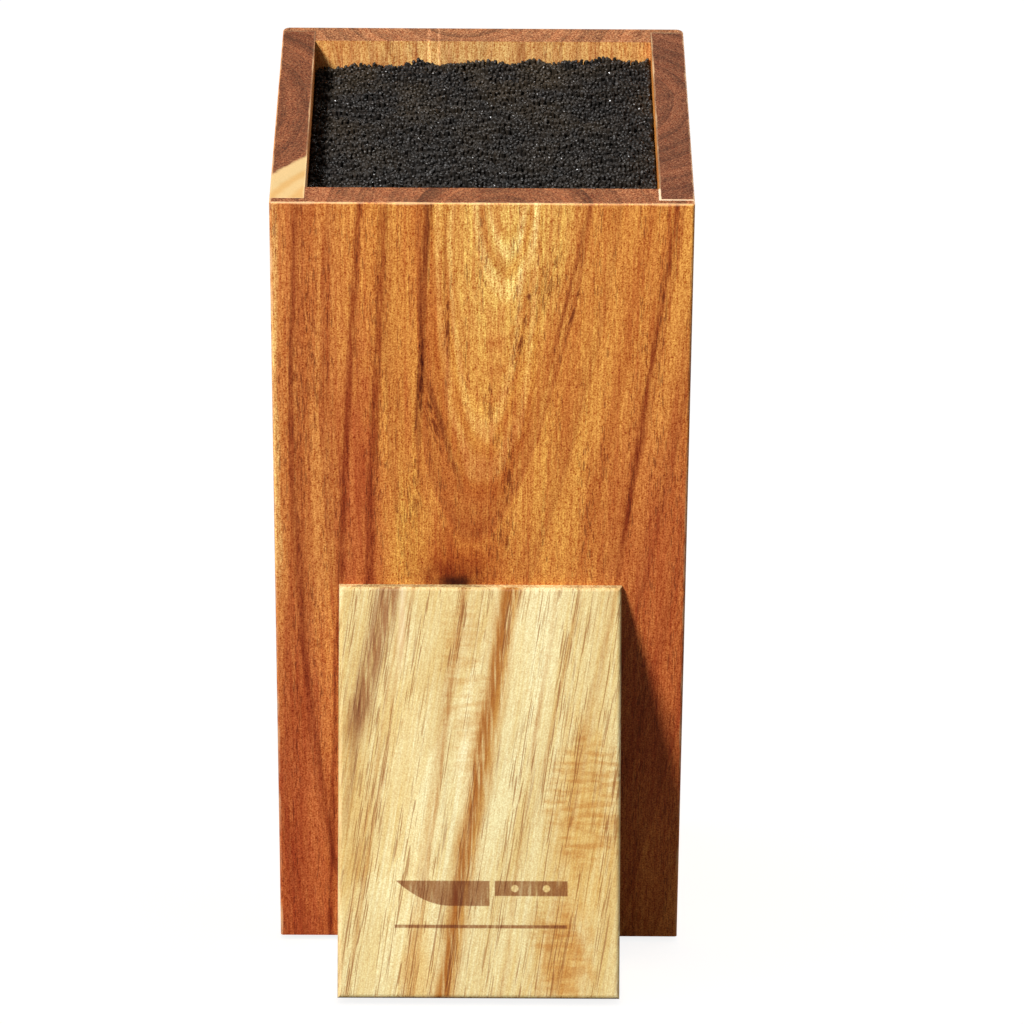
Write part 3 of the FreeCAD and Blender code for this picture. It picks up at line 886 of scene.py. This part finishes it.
# Curly figure: bars across the grain, only in a few patches of the face.
CURLY_TINT = (0.76, 0.52, 0.30, 1)
CURLY_PATCHES = [
    ((29, 0, 54), (15, FAR, 24), 0.7), ((22, 0, 14), (10, FAR, 20), 0.7),
    ((-4, 0, 84), (8, FAR, 30), 0.5),
]
bars = levels(noise(place, (6.5, 30, 1.5)), 0.34, 0.68)
for middle, size, amount in CURLY_PATCHES:
    patch = use_group(
        spot, place=place, middle=middle, size=size, ragged=0.8, solid_part=0.5)["Mask"]
    curl = times(times(bars, patch), amount)
    colour = mix_colour(curl, colour, CURLY_TINT, "MULTIPLY")

# %% [markdown]
# ## A burned sign on the foot
#
# A maker burns a sign into the foot. Here it is a plain kitchen knife over a line, which says
# what the block is for. It is drawn with sums: a point is inside a shape when it is on the right
# side of all its edges. The heat bites deeper into soft wood, so the grain shows through the
# burn.

# %% Burned sign
sign, given, result = new_group("burned sign", MASK, place=ORIGIN, middle=ORIGIN)
SIGN_SCALE = 1.13
SOFT_EDGE = 0.16
SIGN_END = 20.5
BLADE_HALF, BLADE_HEEL = 3.0, 2.0
BELLY_START, BELLY_SWEEP = -7.0, 0.034
HANDLE_START, HANDLE_BOTTOM = 3.2, -0.6
RIVETS_ALONG, RIVET_HEIGHT = (8.0, 15.5), 1.2
RULE_BOTTOM, RULE_TOP = -8.3, -7.5
from_middle = vector_calc("SUBTRACT", given["Place"], given["Middle"])
from_middle = vector_calc("DIVIDE", from_middle, (SIGN_SCALE,) * 3)
parts = split(from_middle)
sign_x, sign_z = parts[0], parts[2]


def inside(left_side, right_side, bottom, top):
    """How far inside a rectangle a point is. Below nothing, it is outside."""
    depths = []
    for at, low, high in ((sign_x, left_side, right_side), (sign_z, bottom, top)):
        aside = calc("ABSOLUTE", minus(at, (low + high) / 2))
        depths.append(minus((high - low) / 2, aside))
    return calc("MINIMUM", *depths)


def solid(how_far):
    """A crisp mask from how far inside a shape a point is."""
    return levels(how_far, -SOFT_EDGE, SOFT_EDGE)


# The blade: a strip whose lower edge sweeps up to the point.
past_belly = calc("MAXIMUM", minus(BELLY_START, sign_x), 0.0)
sweep = times(times(past_belly, past_belly), BELLY_SWEEP)
above_edge = minus(calc("ADD", sign_z, BLADE_HALF), sweep)
strip = inside(-SIGN_END, BLADE_HEEL, -BLADE_HALF, BLADE_HALF)
blade = solid(calc("MINIMUM", strip, above_edge))

# The handle, with two rivets left pale, and the line below.
handle = solid(inside(HANDLE_START, SIGN_END, HANDLE_BOTTOM, BLADE_HALF))
for rivet_x in RIVETS_ALONG:
    from_rivet = vector_calc(
        "DISTANCE", put(sign, "CombineXYZ", {0: sign_x, 2: sign_z}).outputs[0],
        (rivet_x, 0, RIVET_HEIGHT), output="Value")
    handle = times(handle, levels(from_rivet, 0.7, 1.0))
rule = solid(inside(-SIGN_END, SIGN_END, RULE_BOTTOM, RULE_TOP))
shape = calc("MAXIMUM", calc("MAXIMUM", blade, handle), rule)
grain_bite = noise(given["Place"], (0.9, 0.9, 7), detail=3.0)
sign.links.new(times(shape, levels(grain_bite, 0.2, 0.55, 0.55, 1.0)), result["Mask"])

# %% Burn it in
SIGN_MIDDLE = (0.6, 0, 28.6)
CHAR = (0.36, 0.165, 0.09, 1)
on_the_face = levels(split(place)[1], 0.4, 0.8, 1.0, 0.0)
burn = use_group(sign, place=place, middle=SIGN_MIDDLE)["Mask"]
burn = times(times(burn, on_the_face), 0.9)
connect(foot_shader, base_color=mix_colour(burn, colour, CHAR, "MULTIPLY"))
give(foot_finish, "front_foot")

# %% [markdown]
# ## Screws, pads and tray
#
# These are small and mostly hidden, but they show from below and when the insert is out. The
# screws are zinc plated steel, brushed by rolling. The pads are rubber, dull and a little dusty.
# The tray is moulded black plastic with a fine spark-eroded texture.

# %% Small parts
ZINC, ZINC_SHADE = (0.78, 0.76, 0.70, 1), (0.62, 0.60, 0.53, 1)
RUBBER, RUBBER_DUST = (0.022, 0.022, 0.023, 1), (0.07, 0.066, 0.06, 1)
TRAY_BLACK, TRAY_GREY = (0.018, 0.018, 0.02, 1), (0.032, 0.032, 0.034, 1)

screw_finish, tree, shader = new_material("zinc plated steel")
place = place_in(tree, box_axes)
scratches = noise(place, (0.12, 3.0, 0.12))
tint = mix_colour(levels(scratches, 0.35, 0.65), ZINC_SHADE, ZINC)
shader.inputs["Metallic"].default_value = 1.0
connect(shader, base_color=tint, roughness=calc("MULTIPLY_ADD", scratches, 0.25, 0.2))
bump(shader, scratches, 0.2, 0.00003)
give(screw_finish, "foot_screw_left", "foot_screw_right")

rubber, tree, shader = new_material("pad rubber")
place = place_in(tree, box_axes)
dust = noise(place, (1.5, 1.5, 1.5), detail=4.0)
tint = mix_colour(levels(dust, 0.45, 0.7), RUBBER, RUBBER_DUST)
connect(shader, base_color=tint, roughness=calc("MULTIPLY_ADD", dust, 0.2, 0.7))
bump(shader, dust, 0.3, 0.00006)
give(rubber, *[name for name in frame["nodes"] if name.startswith("rubber_pad")])

moulded, tree, shader = new_material("moulded black plastic")
place = place_in(tree, box_axes)
erosion = noise(place, (0.35, 0.35, 0.35))
haze = noise(place, (25, 25, 25))
tint = mix_colour(haze, TRAY_BLACK, TRAY_GREY)
connect(shader, base_color=tint, roughness=calc("MULTIPLY_ADD", haze, 0.2, 0.38))
bump(shader, erosion, 0.35, 0.00005)
give(moulded, "insert_tray")

# %% [markdown]
# ## Bristles
#
# The model holds ten rows of plain tufts, which stand for the weight and the place of the real
# thing: thousands of plastic rods about a millimetre thick. The rods are the most telling detail
# of the block, so they are real geometry. Each is a six-sided prism with a broken edge at its
# tip. They stand on a hexagonal lattice, shaken a little. Their tips lean in clumps and end at
# uneven heights, which gives the top its look of coarse black felt. A rod is cut at a slight
# angle, so that some tips flash in the light.
#
# Arrays make this quick: all the rods are bent at once, and one small loop writes ten meshes.

# %% Where the rods stand
rng = np.random.default_rng(7)
MM = 0.001
ROD_RADIUS = 0.5 * MM
PITCH = 1.12 * MM
WALL_GAP = 0.25 * MM
rows = sorted(name for name in frame["nodes"] if name.startswith("bristle_row"))
tray_high = box_in_axes(["insert_tray"], box_axes)[1]
tuft_high = box_in_axes(rows, box_axes)[1]
mouth_low = Vector((left_high.x, front_high.y, 0))
mouth_high = Vector((-left_high.x, box_high.y - board, 0))
inset = ROD_RADIUS + WALL_GAP

step_y = PITCH * math.sqrt(3) / 2
count_x = int((mouth_high.x - mouth_low.x - 2 * inset) / PITCH) + 1
count_y = int((mouth_high.y - mouth_low.y - 2 * inset) / step_y) + 1
spread_x = (mouth_high.x - mouth_low.x - 2 * inset - PITCH / 2) / (count_x - 1)
spread_y = (mouth_high.y - mouth_low.y - 2 * inset) / (count_y - 1)
grid_x, grid_y = np.meshgrid(np.arange(count_x), np.arange(count_y))
rod_x = mouth_low.x + inset + grid_x * spread_x + (grid_y % 2) * PITCH / 2
rod_y = mouth_low.y + inset + grid_y * spread_y
rod_x, rod_y = rod_x.ravel(), rod_y.ravel()
rods = len(rod_x)
print("rods:", rods)


def soft_noise(x, y, blob, seed):
    """Smooth noise between about -1 and 1: a few dozen waves with random directions."""
    waves = np.random.default_rng(seed)
    total = np.zeros_like(x)
    for _ in range(24):
        angle = waves.uniform(0, 2 * math.pi)
        length = blob * waves.uniform(0.6, 1.8)
        phase = waves.uniform(0, 2 * math.pi)
        total += np.sin((x * math.cos(angle) + y * math.sin(angle)) * 2 * math.pi / length + phase)
    return total / 6


# %% [markdown]
# Clumps come from smooth noises that push the tips sideways: one of blobs 12 mm wide, and a finer
# one. From front to back the finer blobs are 3 mm deep and about twice as wide, so that tips
# gather in short rows. The heights mix a slow wave, short rows again and a little luck for each
# rod, and they fall off towards the left wall.

# %% Shape the rods
ROW_STRETCH = 0.45
LEFT_DROP = 2.6
LUCK_SIDEWAYS, LUCK_IN_HEIGHT, LUCK_IN_CUT = 0.16, 0.24, 0.35
BELOW_RIM = 2.5 * MM
wide_x = rod_x * ROW_STRETCH
clump_x = 0.25 * soft_noise(rod_x, rod_y, 4 * MM, 11) + 0.3 * soft_noise(rod_x, rod_y, 12 * MM, 12)
clump_y = 0.34 * soft_noise(wide_x, rod_y, 3 * MM, 13) + 0.3 * soft_noise(rod_x, rod_y, 12 * MM, 14)
tip_x = rod_x + (clump_x + rng.normal(0, LUCK_SIDEWAYS, rods)) * MM
tip_y = rod_y + (clump_y + rng.normal(0, LUCK_SIDEWAYS, rods)) * MM
tip_x = np.clip(tip_x, mouth_low.x + inset, mouth_high.x - inset)
tip_y = np.clip(tip_y, mouth_low.y + inset, mouth_high.y - inset)

sideways = (rod_x - mouth_low.x) / (mouth_high.x - mouth_low.x)
top = tuft_high.z + MM * (
    -LEFT_DROP * (1 - sideways) ** 3
    + 0.35 * soft_noise(rod_x, rod_y, 30 * MM, 15)
    + 0.62 * soft_noise(wide_x, rod_y, 3.0 * MM, 16)
    + rng.normal(0, LUCK_IN_HEIGHT, rods)
)
top = np.minimum(top, box_high.z - BELOW_RIM)
foot_z = np.full(rods, tray_high.z)
tilt = rng.normal(0, LUCK_IN_CUT, (rods, 2))
turn = rng.uniform(0, math.pi / 3, rods)

SIDES = 6
corner = np.arange(SIDES) * 2 * math.pi / SIDES
# Each ring of a rod: how far up it is, how far it has bent over, how far in its corners are.
LEVELS = [(0.0, 0.0, 1.0), (0.6, 0.2, 1.0), (1.0, 1.0, 1.0), (1.0, 1.0, 0.62)]
TIP = 0.22 * MM
rings = []
for number, (up, bend, width) in enumerate(LEVELS):
    angle = turn[:, None] + corner[None, :]
    ring_x = ROD_RADIUS * width * np.cos(angle)
    ring_y = ROD_RADIUS * width * np.sin(angle)
    x = rod_x[:, None] + bend * (tip_x - rod_x)[:, None] + ring_x
    y = rod_y[:, None] + bend * (tip_y - rod_y)[:, None] + ring_y
    z = foot_z[:, None] + up * (top - TIP - foot_z)[:, None] + 0 * ring_x
    if up == 1.0:
        z = z + tilt[:, :1] * ring_x + tilt[:, 1:] * ring_y
    if number == len(LEVELS) - 1:
        z = z + TIP
    rings.append(np.stack([x, y, z], axis=-1))
rod_points = np.stack(rings, axis=1).reshape(rods, -1, 3)
per_rod = rod_points.shape[1]

# %% [markdown]
# Black plastic is never quite black. The colour drifts a little from rod to rod, and a faint
# haze of wood dust lies on the tips, more of it towards the back. The palest few rods are
# glossier than the rest, which gives the glints.

# %% Bristle plastic
bristle_finish, tree, shader = new_material("bristle plastic")
place = place_in(tree, box_axes)
rod_tone = noise(place, (1.1, 1.1, 300), detail=1.0)
dusty = noise(place, (14, 14, 14), detail=3.0)
SOOT, WORN_BLACK = (0.0065, 0.0055, 0.0048, 1), (0.017, 0.0135, 0.011, 1)
WOOD_DUST = (0.034, 0.023, 0.012, 1)
tint = mix_colour(levels(rod_tone, 0.3, 0.7), SOOT, WORN_BLACK)
towards_back = levels(split(place)[1], 30, 100, 0.4, 1.0)
dust_amount = times(levels(dusty, 0.38, 0.70), towards_back)
tint = mix_colour(times(dust_amount, 0.75), tint, WOOD_DUST)
shader.inputs["Specular IOR Level"].default_value = 0.30
connect(shader, base_color=tint, roughness=levels(rod_tone, 0.60, 0.70, 0.55, 0.26))
drawn = noise(place, (0.25, 0.25, 9))
bump(shader, drawn, 0.25, 0.00004)

# %% Write ten meshes, one for each row of tufts
row_width = (mouth_high.x - mouth_low.x) / len(rows)
faces = []
for level in range(len(LEVELS) - 1):
    for side in range(SIDES):
        a = level * SIDES + side
        b = level * SIDES + (side + 1) % SIDES
        faces.append((a, b, b + SIDES, a + SIDES))
faces.append(tuple(range((len(LEVELS) - 1) * SIDES, len(LEVELS) * SIDES)))
faces.append(tuple(reversed(range(SIDES))))
to_frame = np.array(box_axes)

for index, row in enumerate(rows):
    row_left = mouth_low.x + index * row_width
    mine = (rod_x >= row_left) & (rod_x < row_left + row_width)
    if index == len(rows) - 1:
        mine = rod_x >= row_left
    points = rod_points[mine].reshape(-1, 3)
    points = points @ to_frame[:3, :3].T + to_frame[:3, 3]
    all_faces = [
        tuple(v + rod * per_rod for v in face) for rod in range(mine.sum()) for face in faces
    ]
    mesh = bpy.data.meshes.new(f"bristles_{index + 1:02d}")
    mesh.from_pydata(points.tolist(), [], all_faces)
    mesh.materials.append(bristle_finish)
    bristles = bpy.data.objects.new(mesh.name, mesh)
    bpy.context.scene.collection.objects.link(bristles)
    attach(bristles, "insert")
    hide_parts(row)
print("bristle meshes:", len(rows), "points:", rods * per_rod)

# %% [markdown]
# ## Table and light
#
# The block stands on a plain pale table. The key light is a soft square lamp, high on the left
# and in front, which throws the foot's shadow across the box. A weaker, wider one, behind and to
# the right, keeps the far sides from going black. Neither lights the table, which would
# otherwise be striped with hard shadows: it has a glow of its own and keeps only the soft shade
# that the sky gives it. The sky is plain white, and to everything but the camera it is dim.

# %% Table
TABLE_RADIUS = 6.0
TABLE_GREY = (0.75, 0.75, 0.75, 1)
WHITE = (1, 1, 1, 1)
TABLE_GLOW = 0.86
bpy.ops.mesh.primitive_circle_add(vertices=96, radius=TABLE_RADIUS, fill_type="NGON")
table = bpy.context.object
table.name = "table"
pale, tree, shader = new_material("pale table")
tree.nodes.remove(shader)
output = tree.nodes["Material Output"]
matte = put(tree, "BsdfDiffuse", {"Color": TABLE_GREY})
glow = put(tree, "Emission", {"Color": WHITE, "Strength": TABLE_GLOW})
seen = put(tree, "AddShader", {0: matte.outputs[0], 1: glow.outputs[0]})
which = put(
    tree, "MixShader",
    {0: put(tree, "LightPath").outputs["Is Camera Ray"], 1: matte.outputs[0], 2: seen.outputs[0]})
tree.links.new(which.outputs[0], output.inputs["Surface"])
table.data.materials.append(pale)
print("table:", TABLE_RADIUS * 2, "m across")

# %% Lamps
LAMP_AWAY = 2.5
unlit = bpy.data.collections.new("not lit by the lamps")
unlit.objects.link(table)
middle = (cad_box[0] + cad_box[1]) / 2


def soft_lamp(name, direction, side, power):
    """A square lamp, turned to the middle of the block, that leaves the table alone."""
    direction = Vector(direction).normalized()
    light = bpy.data.lights.new(name, "AREA")
    light.shape = "SQUARE"
    light.size = side
    light.energy = power
    lamp = bpy.data.objects.new(name, light)
    lamp.location = middle + direction * LAMP_AWAY
    lamp.rotation_euler = direction.to_track_quat("Z", "Y").to_euler()
    bpy.context.scene.collection.objects.link(lamp)
    lamp.light_linking.receiver_collection = unlit
    print("lamp:", name, side, "m wide,", power, "W")


soft_lamp("key", (-0.72, -1.0, 1.0), side=0.45, power=125.0)
soft_lamp("back", (0.75, 0.62, 0.30), side=1.2, power=45.0)
unlit.collection_objects[0].light_linking.link_state = "EXCLUDE"

# %% Sky
SKY_LIGHT = 0.22
SKY_SEEN = 1.0
sky = bpy.data.worlds.new("sky")
sky.use_nodes = True
bpy.context.scene.world = sky
tree = sky.node_tree
background = tree.nodes["Background"]
background.inputs["Color"].default_value = WHITE
is_camera = put(tree, "LightPath").outputs["Is Camera Ray"]
strength = calc("MULTIPLY_ADD", is_camera, SKY_SEEN - SKY_LIGHT, SKY_LIGHT)
tree.links.new(strength, background.inputs["Strength"])
print("sky strength:", SKY_LIGHT, "and", SKY_SEEN, "to the camera")

# %% [markdown]
# ## Last, a measurement
#
# The finishes and the rods may not make the block bigger than its model. The box that the model
# had at the start is printed.

# %% Print the model's box
print("CAD box:", cad_box)
